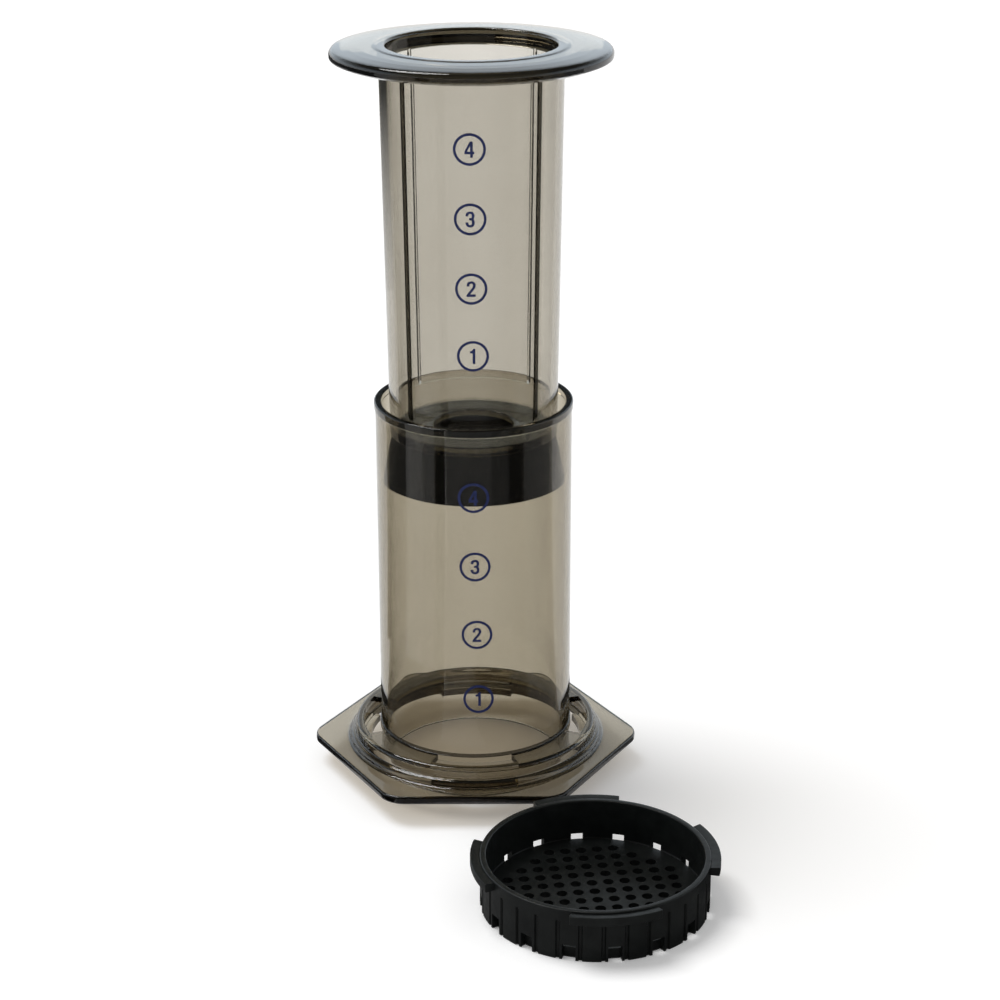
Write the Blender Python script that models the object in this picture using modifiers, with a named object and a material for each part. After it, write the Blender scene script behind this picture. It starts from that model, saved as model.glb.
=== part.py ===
# Piston coffee press with its filter cap taken off and set down beside it.
# Metres, +Z up. Four mouldings: chamber, plunger, seal and filter cap.
import math

import bmesh
import bpy
from mathutils import Matrix, Vector

# Driving sizes: chamber tube
tube_diameter = 0.0645
tube_wall = 0.00195
rim_overhang = 0.00035
rim_depth = 0.0024
edge_round = 0.0006
chamber_height = 0.1311

# Driving sizes: hexagonal flange, and the collar that forms the socket for the cap
flange_reach = 0.00575
hex_corner_radius = 0.0088
flange_thickness = 0.00275
flange_edge_round = 0.0007
collar_height = 0.0090
collar_top_wall = 0.0015
collar_base_wall = 0.0039
collar_edge_round = 0.0009
collar_root = 0.0012
web_thickness = 0.0020
slot_half_angle = math.radians(22.0)
lug_half_angle = math.radians(21.0)
lug_lift = 0.0003
lug_height = 0.0024
lug_root = 0.0006
ways = 4

# Driving sizes: filter cap
cap_wall = 0.0019
cap_height = 0.0168
cap_foot = 0.0010
cap_floor = 0.0024
cap_edge_round = 0.0004
ear_reach = 0.0030
ear_thickness = 0.0030
ear_half_angle = math.radians(21.5)
cap_turn = math.radians(7.7)
window_count = 16
window_width = 0.0044
window_height = 0.0052
groove_count = 32
groove_width = 0.0012
groove_depth = 0.0006
groove_stop = 0.0010
hole_pitch = 0.00515
hole_diameter = 0.0034
hole_margin = 0.0052

# Driving sizes: plunger
seal_rest_depth = 0.0262
plunger_rise = 0.1422
plunger_wall = 0.0023
press_flange_diameter = 0.0888
press_flange_thickness = 0.0042
press_flange_fall = 0.0011
press_flange_top_round = 0.0018
press_flange_under_round = 0.0014
mouth_round = 0.0009
mouth_land = 0.0033
mouth_step = 0.0003
shoulder_height = 0.0157
end_round = 0.0007
rib_width = 0.0011
rib_height = 0.0010
rib_start = 0.0094
rib_embed = 0.0008
neck_diameter = 0.0300
spigot_wall = 0.0020
spigot_lift = 0.0036
spigot_barb = 0.0017
spigot_barb_height = 0.0016

# Driving sizes: rubber seal
seal_plate = 0.0022
seal_wall = 0.0033
seal_floor = 0.0023
seal_top_inset = 0.00085
seal_shoulder_inset = 0.0020
seal_waist_inset = 0.0005
seal_shoulder_share = 0.66
seal_waist_share = 0.14
seal_lip_width = 0.0010
seal_lip_height = 0.0005

# Clearances between pieces
touch_gap = 0.0003
ear_clearance = 0.0003
wall_clearance = 0.00035
cap_clearance = 0.00135
plunger_top_clearance = 0.00115
plunger_end_clearance = 0.00285
filter_room = 0.0003
slot_skin = 0.0004
socket_skin = 0.0003

# Place of the loose cap: across from the chamber's axis, and clear of the flange in front
cap_across = 0.0376
cap_spacing = 0.00995

# Fineness of the round shapes
turn_steps = 48
arc_steps = 3
corner_steps = 4
sector_steps = 6
hole_sides = 10
cut_overrun = 0.0010
seam_reach = 0.00001

# Chamber, worked out
tube_radius = tube_diameter / 2
bore_radius = tube_radius - tube_wall
rim_radius = tube_radius + rim_overhang
cap_bore_radius = tube_radius + cap_clearance
cap_wall_radius = cap_bore_radius + cap_wall
ear_radius = cap_wall_radius + ear_reach
cap_floor_top = cap_foot + cap_floor
cap_depth = cap_height - cap_floor_top
flange_low = cap_depth - lug_lift - lug_height - ear_thickness - filter_room
flange_top = flange_low + flange_thickness
plate_hole_radius = ear_radius + ear_clearance
socket_radius = plate_hole_radius + socket_skin
web_top = flange_low + collar_height
socket_ceiling = web_top - web_thickness
collar_top_radius = socket_radius + collar_top_wall
collar_base_radius = socket_radius + collar_base_wall
lug_inner_radius = cap_wall_radius + wall_clearance
slot_inner_radius = tube_radius + slot_skin
slot_outer_radius = plate_hole_radius - slot_skin
hex_inradius = collar_base_radius + flange_reach
hex_half_length = hex_inradius / math.cos(math.pi / 6)
hex_reach = hex_half_length - hex_corner_radius * (1 / math.cos(math.pi / 6) - 1)

# Plunger and seal, worked out from the plane of the seal's lip
seal_rest_height = chamber_height - seal_rest_depth
plunger_top_radius = bore_radius - plunger_top_clearance
plunger_end_radius = bore_radius - plunger_end_clearance
press_flange_radius = press_flange_diameter / 2
press_edge_top = plunger_rise - press_flange_fall
press_flange_low = press_edge_top - press_flange_thickness
mouth_radius = plunger_top_radius - plunger_wall
inner_end_radius = plunger_end_radius - plunger_wall
end_floor_top = shoulder_height + plunger_wall
neck_radius = neck_diameter / 2
well_radius = neck_radius - spigot_wall
well_floor_top = spigot_lift + spigot_wall
seal_top = shoulder_height - touch_gap
seal_plate_low = seal_top - seal_plate
seal_hole_radius = neck_radius + touch_gap
barb_radius = neck_radius + spigot_barb
barb_top = seal_plate_low - touch_gap
barb_low = barb_top - spigot_barb_height
cavity_floor = spigot_lift - touch_gap
seal_under = cavity_floor - seal_floor
lip_radius = bore_radius - touch_gap
seal_top_radius = plunger_end_radius - seal_top_inset
seal_shoulder_radius = lip_radius - seal_shoulder_inset
seal_waist_radius = lip_radius - seal_waist_inset

# Places: the origin is under the middle of the whole set
cap_forward = hex_inradius + cap_spacing + ear_radius
middle_x = (cap_across + ear_radius - hex_reach) / 2
middle_y = (hex_inradius - cap_forward - ear_radius) / 2
chamber_place = Vector((-middle_x, -middle_y, 0))
cap_place = chamber_place + Vector((cap_across, -cap_forward, 0))
seal_place = chamber_place + Vector((0, 0, seal_rest_height))


def clear_scene():
    for obj in list(bpy.data.objects):
        bpy.data.objects.remove(obj, do_unlink=True)


def make_collection(name, hidden=False):
    collection = bpy.data.collections.new(name)
    bpy.context.scene.collection.children.link(collection)
    collection.hide_render = hidden
    return collection


def make_material(name, colour, roughness, transmission=0.0, ior=1.5):
    material = bpy.data.materials.new(name)
    material.use_nodes = True
    shader = material.node_tree.nodes["Principled BSDF"]
    shader.inputs["Base Color"].default_value = (*colour, 1)
    shader.inputs["Roughness"].default_value = roughness
    shader.inputs["Metallic"].default_value = 0.0
    shader.inputs["Transmission Weight"].default_value = transmission
    shader.inputs["IOR"].default_value = ior
    return material


def add_object(name, bm, collection, place=None):
    mesh = bpy.data.meshes.new(name)
    bm.to_mesh(mesh)
    bm.free()
    obj = bpy.data.objects.new(name, mesh)
    collection.objects.link(obj)
    if place is not None:
        obj.location = place
    return obj


def hide_helper(obj):
    obj.hide_render = True
    obj.display_type = "WIRE"


def arc(centre_x, centre_z, radius, first, last, steps=arc_steps):
    """Points round part of a circle, angles in degrees from +X."""
    points = []
    for step in range(steps + 1):
        angle = math.radians(first + (last - first) * step / steps)
        points.append((centre_x + radius * math.cos(angle), centre_z + radius * math.sin(angle)))
    return points


def turned(name, profile, closed, collection, place):
    """A turned solid: the profile lies in the XZ plane and goes down its outer side."""
    bm = bmesh.new()
    verts = [bm.verts.new((x, 0, z)) for x, z in profile]
    for first, second in zip(verts, verts[1:]):
        bm.edges.new((first, second))
    if closed:
        bm.edges.new((verts[-1], verts[0]))
    obj = add_object(name, bm, collection, place)
    screw = obj.modifiers.new("Turn", "SCREW")
    screw.axis = "Z"
    screw.angle = 2 * math.pi
    screw.steps = turn_steps
    screw.render_steps = turn_steps
    screw.use_merge_vertices = True
    screw.merge_threshold = seam_reach
    return obj


def extrude_face(bm, face, way):
    """Turns one face into a closed prism."""
    grown = bmesh.ops.extrude_face_region(bm, geom=[face], use_keep_orig=True)
    verts = [item for item in grown["geom"] if isinstance(item, bmesh.types.BMVert)]
    bmesh.ops.translate(bm, verts=verts, vec=way)


def finish_prisms(bm):
    bmesh.ops.recalc_face_normals(bm, faces=bm.faces)


def add_sector(bm, inner, outer, low, high, middle, half_angle):
    """A closed block that follows a ring, from its section spun about Z."""
    corners = [(inner, low), (outer, low), (outer, high), (inner, high)]
    start = Matrix.Rotation(middle - half_angle, 4, "Z")
    verts = [bm.verts.new(start @ Vector((x, 0, z))) for x, z in corners]
    face = bm.faces.new(verts)
    bmesh.ops.spin(
        bm,
        geom=[face],
        cent=(0, 0, 0),
        axis=(0, 0, 1),
        angle=2 * half_angle,
        steps=sector_steps,
        use_merge=False,
        use_duplicate=False,
    )


def ring_blocks(name, inner, outer, low, high, half_angle, collection, place, turn=0.0):
    """One block for each way that the bayonet turns, as one helper mesh."""
    bm = bmesh.new()
    for way in range(ways):
        add_sector(bm, inner, outer, low, high, turn + 2 * math.pi * way / ways, half_angle)
    finish_prisms(bm)
    obj = add_object(name, bm, collection, place)
    hide_helper(obj)
    return obj


def radial_blocks(name, inner, outer, width, low, high, count, first_angle, collection, place):
    """Straight blocks set round a circle like spokes, as one helper mesh."""
    bm = bmesh.new()
    stretch = Matrix.Diagonal((outer - inner, width, high - low, 1))
    shift = Matrix.Translation(((outer + inner) / 2, 0, (high + low) / 2))
    for number in range(count):
        turn = Matrix.Rotation(first_angle + 2 * math.pi * number / count, 4, "Z")
        bmesh.ops.create_cube(bm, size=1.0, matrix=turn @ shift @ stretch)
    obj = add_object(name, bm, collection, place)
    hide_helper(obj)
    return obj


def join_or_cut(obj, other, operation):
    modifier = obj.modifiers.new(other.name, "BOOLEAN")
    modifier.operation = operation
    modifier.solver = "EXACT"
    modifier.object = other


def chamber_profile():
    """Tube, rim, web and collar in one section."""
    profile = arc(rim_radius - edge_round, chamber_height - edge_round, edge_round, 90, 0)
    profile.append((rim_radius, chamber_height - rim_depth))
    profile.append((tube_radius, chamber_height - rim_depth - rim_overhang))
    profile.append((tube_radius, web_top))
    edge_x = collar_top_radius - collar_edge_round
    profile += arc(edge_x, web_top - collar_edge_round, collar_edge_round, 90, 12)
    profile.append((collar_base_radius, flange_top))
    profile.append((collar_base_radius, flange_low + collar_root))
    profile.append((socket_radius, flange_low + collar_root))
    profile.append((socket_radius, socket_ceiling))
    profile.append((tube_radius, socket_ceiling))
    profile += arc(tube_radius - edge_round, edge_round, edge_round, 0, -90)
    profile += arc(bore_radius + edge_round, edge_round, edge_round, -90, -180)
    profile += arc(bore_radius + edge_round, chamber_height - edge_round, edge_round, 180, 90)
    return profile


def hex_plate(helpers):
    """Hexagonal plate with rounded corners and edges, and the hole of the socket."""
    bm = bmesh.new()
    reach = (hex_inradius - hex_corner_radius) / math.cos(math.pi / 6)
    outline = []
    for corner in range(6):
        heading = 60 * corner
        centre_x = reach * math.cos(math.radians(heading))
        centre_y = reach * math.sin(math.radians(heading))
        outline += arc(centre_x, centre_y, hex_corner_radius, heading - 30, heading + 30, corner_steps)
    face = bm.faces.new([bm.verts.new((x, y, flange_low)) for x, y in outline])
    extrude_face(bm, face, (0, 0, flange_thickness))
    finish_prisms(bm)
    plate = add_object("hex_plate", bm, helpers, chamber_place)
    hide_helper(plate)
    bevel = plate.modifiers.new("Edge round", "BEVEL")
    bevel.width = flange_edge_round
    bevel.segments = 2
    bevel.limit_method = "ANGLE"
    bevel.angle_limit = math.radians(40)
    bm = bmesh.new()
    bmesh.ops.create_cone(
        bm,
        cap_ends=True,
        segments=turn_steps,
        radius1=plate_hole_radius,
        radius2=plate_hole_radius,
        depth=flange_thickness + 2 * cut_overrun,
        matrix=Matrix.Translation((0, 0, flange_low + flange_thickness / 2)),
    )
    hole = add_object("hex_plate_hole", bm, helpers, chamber_place)
    hide_helper(hole)
    join_or_cut(plate, hole, "DIFFERENCE")
    return plate


def make_chamber(parts, helpers):
    """Clear chamber: tube, hexagonal flange, and the collar with lugs inside for the cap."""
    chamber = turned("chamber", chamber_profile(), True, parts, chamber_place)
    slots = ring_blocks(
        "slot_cutter",
        slot_inner_radius,
        slot_outer_radius,
        socket_ceiling - cut_overrun,
        web_top + cut_overrun,
        slot_half_angle,
        helpers,
        chamber_place,
    )
    join_or_cut(chamber, slots, "DIFFERENCE")
    join_or_cut(chamber, hex_plate(helpers), "UNION")
    lugs = ring_blocks(
        "lug_blocks",
        lug_inner_radius,
        plate_hole_radius + lug_root,
        flange_low + lug_lift,
        flange_low + lug_lift + lug_height,
        lug_half_angle,
        helpers,
        chamber_place,
    )
    join_or_cut(chamber, lugs, "UNION")
    return chamber


def spigot_outline():
    """Outer side of the plunger's end below its shoulder, down to the axis."""
    points = [(neck_radius, shoulder_height), (neck_radius, barb_top)]
    points.append((barb_radius, barb_top))
    points.append((barb_radius, barb_low + spigot_barb_height / 2))
    points.append((neck_radius, barb_low))
    points += arc(neck_radius - end_round, spigot_lift + end_round, end_round, 0, -90)
    points.append((0, spigot_lift))
    return points


def plunger_profile():
    """Section from the floor of the inner well, over the mouth and down the outside."""
    profile = [(0, well_floor_top)]
    profile += arc(well_radius - end_round, well_floor_top + end_round, end_round, -90, 0)
    profile += arc(well_radius + end_round, end_floor_top - end_round, end_round, 180, 90)
    profile += arc(inner_end_radius - end_round, end_floor_top + end_round, end_round, -90, 0)
    profile += arc(mouth_radius + mouth_round, plunger_rise - mouth_round, mouth_round, 180, 90)
    land_edge = mouth_radius + mouth_land
    profile.append((land_edge, plunger_rise))
    profile.append((land_edge + mouth_step, plunger_rise - mouth_step))
    edge_x = press_flange_radius - press_flange_top_round
    profile += arc(edge_x, press_edge_top - press_flange_top_round, press_flange_top_round, 85, 0)
    edge_x = press_flange_radius - press_flange_under_round
    profile += arc(edge_x, press_flange_low + press_flange_under_round, press_flange_under_round, 0, -90)
    fillet_x = plunger_top_radius + end_round
    profile += arc(fillet_x, press_flange_low - end_round, end_round, 90, 180)
    profile += arc(plunger_end_radius - end_round, shoulder_height + end_round, end_round, 0, -90)
    return profile + spigot_outline()


def rib_blocks(helpers):
    """Four straight ribs that follow the taper of the plunger's tube."""
    rib_low = shoulder_height + rib_start
    tube_rise = press_flange_low - shoulder_height
    taper = (plunger_top_radius - plunger_end_radius) / tube_rise
    low_radius = plunger_end_radius + taper * rib_start
    rib_high = press_flange_low + press_flange_thickness / 2
    outline = [
        (low_radius - rib_embed, rib_low),
        (low_radius, rib_low),
        (low_radius + rib_height, rib_low + rib_height),
        (plunger_top_radius + rib_height, rib_high),
        (plunger_top_radius - rib_embed, rib_high),
    ]
    bm = bmesh.new()
    for way in range(ways):
        turn = Matrix.Rotation(math.pi / 4 + 2 * math.pi * way / ways, 4, "Z")
        side = Vector((0, rib_width / 2, 0))
        face = bm.faces.new([bm.verts.new(turn @ (Vector((x, 0, z)) - side)) for x, z in outline])
        extrude_face(bm, face, turn @ (2 * side))
    finish_prisms(bm)
    obj = add_object("rib_blocks", bm, helpers, seal_place)
    hide_helper(obj)
    return obj


def make_plunger(parts, helpers):
    """Clear hollow plunger with its hand flange, ribs and closed end."""
    plunger = turned("plunger", plunger_profile(), False, parts, seal_place)
    join_or_cut(plunger, rib_blocks(helpers), "UNION")
    return plunger


def seal_profile():
    """Section of the rubber seal: hollow inside, a hole on top, a lip round the bottom."""
    shoulder_z = seal_top * seal_shoulder_share
    waist_z = seal_top * seal_waist_share
    cavity_top_radius = seal_top_radius - seal_wall
    cavity_low_radius = seal_shoulder_radius - seal_wall
    profile = [(0, cavity_floor), (cavity_low_radius, cavity_floor)]
    profile.append((cavity_low_radius, shoulder_z))
    profile.append((cavity_top_radius, seal_plate_low))
    profile.append((seal_hole_radius, seal_plate_low))
    profile.append((seal_hole_radius, seal_top))
    profile += arc(seal_top_radius - edge_round, seal_top - edge_round, edge_round, 90, 20)
    profile.append((seal_shoulder_radius, shoulder_z))
    profile.append((seal_waist_radius, waist_z))
    profile.append((lip_radius, seal_lip_height))
    profile.append((lip_radius, 0))
    profile.append((lip_radius - seal_lip_width, 0))
    profile.append((lip_radius - seal_lip_width - seal_under, seal_under))
    profile.append((0, seal_under))
    return profile


def make_seal(parts):
    return turned("seal", seal_profile(), False, parts, seal_place)


def cap_profile():
    """Section of the cap's cup, standing on its foot with its mouth up."""
    profile = [(0, cap_floor_top), (cap_bore_radius, cap_floor_top)]
    profile += arc(cap_bore_radius + cap_edge_round, cap_height - cap_edge_round, cap_edge_round, 180, 90, 2)
    profile += arc(cap_wall_radius - cap_edge_round, cap_height - cap_edge_round, cap_edge_round, 90, 0, 2)
    profile.append((cap_wall_radius, 0))
    profile.append((cap_bore_radius - cap_edge_round, 0))
    profile.append((cap_bore_radius - cap_edge_round, cap_foot))
    profile.append((0, cap_foot))
    return profile


def hole_cutter(helpers):
    """Round holes on a square grid, as many as the floor has room for."""
    bm = bmesh.new()
    turn = Matrix.Rotation(cap_turn, 4, "Z")
    field_radius = cap_bore_radius - hole_margin
    span = int(field_radius / hole_pitch)
    for row in range(-span, span + 1):
        for column in range(-span, span + 1):
            if math.hypot(row, column) * hole_pitch > field_radius:
                continue
            place = turn @ Vector((column * hole_pitch, row * hole_pitch, cap_foot + cap_floor / 2))
            bmesh.ops.create_cone(
                bm,
                cap_ends=True,
                segments=hole_sides,
                radius1=hole_diameter / 2,
                radius2=hole_diameter / 2,
                depth=cap_floor + 2 * cut_overrun,
                matrix=Matrix.Translation(place),
            )
    obj = add_object("hole_cutter", bm, helpers, cap_place)
    hide_helper(obj)
    return obj


def make_filter_cap(parts, helpers):
    """Black cap: cup with a perforated floor, four ears, grip grooves and windows."""
    cap = turned("filter_cap", cap_profile(), False, parts, cap_place)
    ears = ring_blocks(
        "ear_blocks",
        cap_wall_radius - cap_wall / 2,
        ear_radius,
        cap_height - ear_thickness,
        cap_height - cap_edge_round,
        ear_half_angle,
        helpers,
        cap_place,
        cap_turn,
    )
    groove_angle = cap_turn + math.pi / groove_count
    grooves = radial_blocks(
        "groove_cutter",
        cap_wall_radius - groove_depth,
        cap_wall_radius + cut_overrun,
        groove_width,
        -cut_overrun,
        cap_height - ear_thickness - groove_stop,
        groove_count,
        groove_angle,
        helpers,
        cap_place,
    )
    windows = radial_blocks(
        "window_cutter",
        cap_bore_radius - cap_edge_round / 2,
        cap_wall_radius + cut_overrun,
        window_width,
        -cut_overrun,
        window_height,
        window_count,
        cap_turn,
        helpers,
        cap_place,
    )
    join_or_cut(cap, ears, "UNION")
    join_or_cut(cap, grooves, "DIFFERENCE")
    join_or_cut(cap, windows, "DIFFERENCE")
    join_or_cut(cap, hole_cutter(helpers), "DIFFERENCE")
    return cap


def main():
    clear_scene()
    parts = make_collection("coffee_press")
    helpers = make_collection("coffee_press_helpers", hidden=True)
    clear_plastic = make_material("smoke_clear_plastic", (0.42, 0.38, 0.31), 0.06, 0.9, 1.55)
    rubber = make_material("black_rubber", (0.018, 0.018, 0.017), 0.55)
    black_plastic = make_material("black_plastic", (0.014, 0.015, 0.015), 0.38)
    chamber = make_chamber(parts, helpers)
    plunger = make_plunger(parts, helpers)
    seal = make_seal(parts)
    cap = make_filter_cap(parts, helpers)
    seal.parent = plunger
    seal.matrix_parent_inverse = Matrix.Translation(-seal_place)
    chamber.data.materials.append(clear_plastic)
    plunger.data.materials.append(clear_plastic)
    seal.data.materials.append(rubber)
    cap.data.materials.append(black_plastic)


main()
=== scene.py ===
from math import atan2, cos, degrees, hypot, pi, radians, sin

import bmesh
import bpy
from mathutils import Matrix, Vector


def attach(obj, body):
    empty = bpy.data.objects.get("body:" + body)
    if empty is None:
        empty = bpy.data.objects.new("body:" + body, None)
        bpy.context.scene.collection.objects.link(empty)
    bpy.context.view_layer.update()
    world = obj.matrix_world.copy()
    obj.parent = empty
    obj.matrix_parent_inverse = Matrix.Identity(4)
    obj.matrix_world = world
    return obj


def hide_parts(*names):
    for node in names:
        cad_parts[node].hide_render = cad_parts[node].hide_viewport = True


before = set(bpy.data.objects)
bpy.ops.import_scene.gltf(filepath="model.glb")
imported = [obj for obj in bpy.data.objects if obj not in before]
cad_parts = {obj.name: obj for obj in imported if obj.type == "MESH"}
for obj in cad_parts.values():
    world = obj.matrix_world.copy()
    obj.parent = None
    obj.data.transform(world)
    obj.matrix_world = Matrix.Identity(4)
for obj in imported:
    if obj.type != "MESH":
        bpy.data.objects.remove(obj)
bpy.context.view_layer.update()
scene = bpy.context.scene
mm = 0.001

pressAxis = Vector((-10.575, 43.475, 0)) * mm  # middle of chamber and plunger
capAxis = Vector((27.025, -53.725, 0)) * mm  # middle of the loose filter cap
lipHeight = 104.9 * mm  # lip of the seal above the table, plunger drawn out

cornerSteps = 6  # faces across the rounding of a profile's corner
mergeGap = 1e-7  # points nearer than this, in m, become one
wallSlack = 0.1  # mm off its wall at which a face or point still counts as on it
levelSlack = 0.01  # the same in height
quarters = [0, 90, 180, 270]  # headings of slots, lugs and ears


def spinProfile(corners, steps, hold=0.0):
    # corners are (radius, height) or (radius, height, rounding), all in mm
    # hold is how near its ends a long wall gets a ring, which keeps it from bending light as if it were curved
    bm = bmesh.new()
    points = [bm.verts.new((corner[0] * mm, 0, corner[1] * mm)) for corner in corners]
    for first, second in zip(points, points[1:]):
        bm.edges.new((first, second))
    for point, corner in zip(points, corners):
        if len(corner) > 2:
            bmesh.ops.bevel(bm, geom=[point], offset=corner[2] * mm, segments=cornerSteps, profile=0.5,
                            affect="VERTICES", material=-1)
    for edge in [edge for edge in bm.edges if hold and edge.calc_length() > 5 * hold * mm]:
        start, end = edge.verts
        share = hold * mm / edge.calc_length()
        ring = bmesh.utils.edge_split(edge, start, share)[1]
        bmesh.utils.edge_split(next(part for part in ring.link_edges if end in part.verts), end, share)
    bmesh.ops.spin(bm, geom=bm.verts[:] + bm.edges[:], cent=(0, 0, 0), axis=(0, 0, 1), angle=2 * pi,
                   steps=steps, use_merge=True, use_duplicate=False)
    bmesh.ops.remove_doubles(bm, verts=bm.verts, dist=mergeGap)
    bmesh.ops.dissolve_degenerate(bm, dist=mergeGap / 10, edges=bm.edges)
    return bm


def reachOf(v):
    return hypot(v.x, v.y) / mm


def headingOf(v):
    return degrees(atan2(v.y, v.x)) % 360


def offHeading(angle, middle):
    return (angle - middle + 180) % 360 - 180


def facesIn(bm, low, high, inner, outer, middles=None, half=180.0):
    # faces whose middle lies in a band of height and reach, and near one of some headings
    found = []
    for face in bm.faces:
        middle = face.calc_center_median()
        if not (low < middle.z / mm < high and inner < reachOf(middle) < outer):
            continue
        if middles is None or min(abs(offHeading(headingOf(middle), m)) for m in middles) < half:
            found.append(face)
    return found


def setReach(verts, reach):
    for v in verts:
        share = reach / reachOf(v.co)
        v.co.x *= share
        v.co.y *= share


def newVerts(made):
    return [part for part in made["geom"] if isinstance(part, bmesh.types.BMVert)]


def openEdges(bm):
    return [edge for edge in bm.edges if len(edge.link_faces) < 2]


def finishPiece(bm, name, place, body, material, node=None, sharp=32.0, shades=None):
    bmesh.ops.recalc_face_normals(bm, faces=bm.faces)
    if shades:  # each face of a clear piece carries how much painted shade it gets and how straight it looks
        layers = [bm.faces.layers.float.new(word) for word in ("dark", "straight")]
        for face in bm.faces:
            for layer, value in zip(layers, shades(face)):
                face[layer] = value
    for face in bm.faces:
        face.smooth = True
    bmesh.ops.translate(bm, verts=bm.verts, vec=place)
    for edge in bm.edges:
        if len(edge.link_faces) == 2:
            edge.smooth = edge.calc_face_angle(0.0) < radians(sharp)
    print(f"{name}: {len(bm.faces)} faces, {len(openEdges(bm))} open edges")
    mesh = bpy.data.meshes.new(name)
    bm.to_mesh(mesh)
    bm.free()
    mesh.materials.append(material)
    piece = bpy.data.objects.new(name, mesh)
    scene.collection.objects.link(piece)
    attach(piece, body)
    if node:
        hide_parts(node)
    return piece


# node trees are built with these few words
def startMaterial(name):
    material = bpy.data.materials.new(name)
    material.use_nodes = True
    return material, material.node_tree, material.node_tree.nodes["Principled BSDF"]


def addNode(tree, kind, sockets=None, **settings):
    node = tree.nodes.new(kind)
    for key, value in settings.items():
        setattr(node, key, value)
    for key, value in (sockets or {}).items():
        if isinstance(value, bpy.types.NodeSocket):
            tree.links.new(value, node.inputs[key])
        else:
            node.inputs[key].default_value = value
    return node


def noiseAt(tree, scale, detail=4.0, stretch=(1, 1, 1)):
    where = addNode(tree, "ShaderNodeTexCoord")
    mapping = addNode(tree, "ShaderNodeMapping", {"Vector": where.outputs["Object"], "Scale": stretch})
    noise = addNode(tree, "ShaderNodeTexNoise", {"Vector": mapping.outputs[0], "Scale": scale, "Detail": detail})
    return noise.outputs["Fac"]


def remap(tree, source, low, high, fromLow=0.3, fromHigh=0.7):
    node = addNode(tree, "ShaderNodeMapRange", {"Value": source, "From Min": fromLow, "From Max": fromHigh,
                                                "To Min": low, "To Max": high})
    return node.outputs["Result"]


def mathOf(tree, way, first, second):
    return addNode(tree, "ShaderNodeMath", {0: first, 1: second}, operation=way).outputs[0]


def mixColours(tree, factor, first, second):
    node = addNode(tree, "ShaderNodeMix", {"Factor": factor}, data_type="RGBA")
    for socket, value in ((6, first), (7, second)):
        if isinstance(value, bpy.types.NodeSocket):
            tree.links.new(value, node.inputs[socket])
        else:
            node.inputs[socket].default_value = (*value, 1)
    return node.outputs[2]


def addBump(tree, shader, height, strength, distance):
    node = addNode(tree, "ShaderNodeBump", {"Height": height, "Strength": strength, "Distance": distance})
    tree.links.new(node.outputs["Normal"], shader.inputs["Normal"])


smokeLook = {
    "index": 1.5,
    "hold": 0.4,  # mm from the end of a long wall to its holding ring
    "plunger": {"depth": 300.0, "inside": (0.50, 0.46, 0.367), "shadow": (0.91, 0.895, 0.865)},
    "chamber": {"depth": 500.0, "inside": (0.525, 0.472, 0.345), "shadow": (0.88, 0.85, 0.81)},
    "skin": ((0.985, 0.98, 0.965), (0.955, 0.945, 0.925)),  # clean plastic, and hazed plastic
    "paintedShade": (0.016, 0.014, 0.010),  # painted shade: a near-black colour that ribs and edges get where seen from outside, standing in for the dark they show by bending light; from within they are clear
    # how far each of them turns to this painted shade
    "ribDark": 1.0, "flangeDark": 0.88, "rimDark": 0.95, "footDark": 0.97, "skirtDark": 0.35, "plateDark": 0.85,
    "rimStraight": 0.92,  # share of light that goes straight in at the top of the chamber's rim
    "haze": 38.0, "gloss": (0.008, 0.030),  # patches of haze, and the roughness between them and in them
    "upright": (900.0, 0.62, 0.78), "level": (620.0, 0.66, 0.80),  # fine scratches: scale, and where they set in
    "scratches": 0.06,  # what a scratch adds to the roughness
    "edgeShade": (0.62, 0.59, 0.52),  # painted shade: what is left of the skin's colour where the wall is seen end on
    "edgeFrom": (0.52, 0.86),  # how far the wall turns away while that painted shade comes in
    "wave": 120.0, "waveDepth": (0.05, 0.0002),  # faint unevenness of the moulding: scale, strength and distance
}


def faceValue(tree, word):
    return addNode(tree, "ShaderNodeAttribute", attribute_name=word).outputs["Fac"]


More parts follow.
